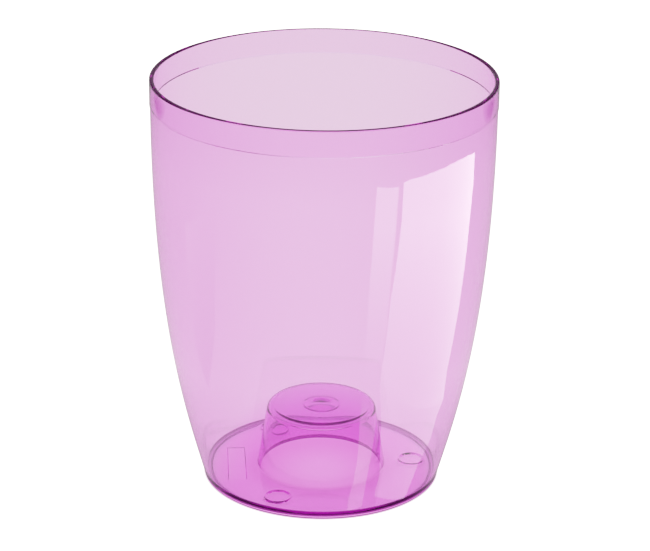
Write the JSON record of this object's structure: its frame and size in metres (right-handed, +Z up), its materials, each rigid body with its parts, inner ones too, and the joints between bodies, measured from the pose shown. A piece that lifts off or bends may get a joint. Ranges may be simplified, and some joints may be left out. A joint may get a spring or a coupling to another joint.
{
  "type": "orchid pot",
  "caption": "Tall see-through tinted orchid pot: curved wall widening to a rim band, ring foot, and a hollow riser in the floor that holds a grow pot above the drained water.",
  "frame": {"origin": "centre of the ring that the pot stands on, at the standing surface", "axes": "+Z up along the pot's axis, towards the rim; -Y is the side that faces the viewer in the picture"},
  "size_m": [0.13, 0.13, 0.16],
  "materials": {
    "tinted_clear_plastic": "clear gloss, injection moulded, pink-violet tint"
  },
  "bodies": {
    "root": {"rim_band": "tinted_clear_plastic", "side_wall": "tinted_clear_plastic", "foot_ring": "tinted_clear_plastic", "floor_plate": "tinted_clear_plastic", "riser_wall": "tinted_clear_plastic", "riser_top": "tinted_clear_plastic"}
  },
  "joints": []
}
